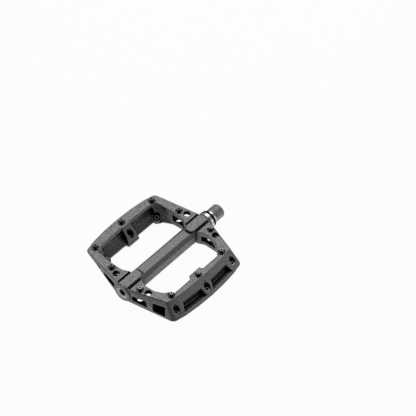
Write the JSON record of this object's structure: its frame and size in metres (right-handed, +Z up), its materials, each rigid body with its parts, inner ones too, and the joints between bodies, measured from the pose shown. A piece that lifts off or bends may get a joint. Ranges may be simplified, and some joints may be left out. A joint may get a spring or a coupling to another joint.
{
  "type": "flat pedal",
  "caption": "Flat bicycle pedal: hollow platform with grip pins on both faces, spinning on a threaded spindle through a bush and ball bearings.",
  "frame": {"origin": "on the spindle's axis, at the shoulder that seats on the crank", "axes": "+X along the spindle towards the crank, +Y to the rear rail, +Z up from the top face"},
  "size_m": [0.1364, 0.1188, 0.0238],
  "materials": {
    "platform_nylon": "fine moulded grain",
    "spindle_steel": "turned and polished, thread left duller",
    "bush_bronze": "sintered, oiled",
    "seal_rubber": "smooth black",
    "bearing_steel": "ground",
    "cage_brass": "pressed",
    "shield_steel": "pressed sheet",
    "washer_steel": "flat ground",
    "nut_steel": "zinc plated",
    "cap_black": "satin",
    "pin_steel": "black oxide, bright at the tip"
  },
  "bodies": {
    "spindle": {"spindle": "spindle_steel", "inner_bearing_inner_race": "bearing_steel", "outer_bearing_inner_race": "bearing_steel", "thrust_washer": "washer_steel", "locknut": "nut_steel"},
    "platform": {"platform": "platform_nylon", "plain_bush": "bush_bronze", "lip_seal": "seal_rubber", "inner_bearing_outer_race": "bearing_steel", "outer_bearing_outer_race": "bearing_steel", "inner_bearing_shields": "shield_steel", "outer_bearing_shields": "shield_steel", "end_cap": "cap_black", "end_cap_o_ring": "seal_rubber", "top_rear_pins": "pin_steel", "top_front_pins": "pin_steel", "top_inboard_pins": "pin_steel", "top_outboard_pins": "pin_steel", "bottom_rear_pins": "pin_steel", "bottom_front_pins": "pin_steel", "bottom_inboard_pins": "pin_steel", "bottom_outboard_pins": "pin_steel"},
    "inner_ball_set": {"inner_bearing_balls": "bearing_steel", "inner_bearing_cage": "cage_brass"},
    "outer_ball_set": {"outer_bearing_balls": "bearing_steel", "outer_bearing_cage": "cage_brass"}
  },
  "joints": [
    {"name": "platform_spin", "type": "hinge", "parent": "spindle", "child": "platform", "pos_m": [0, 0, 0], "axis": [1, 0, 0], "continuous": true},
    {"name": "inner_ball_spin", "type": "hinge", "parent": "spindle", "child": "inner_ball_set", "pos_m": [0, 0, 0], "axis": [1, 0, 0], "continuous": true},
    {"name": "outer_ball_spin", "type": "hinge", "parent": "spindle", "child": "outer_ball_set", "pos_m": [0, 0, 0], "axis": [1, 0, 0], "continuous": true}
  ],
  "couplings": [
    {"joint": "inner_ball_spin", "follows": "platform_spin", "ratio": 0.5958},
    {"joint": "outer_ball_spin", "follows": "platform_spin", "ratio": 0.5958}
  ]
}
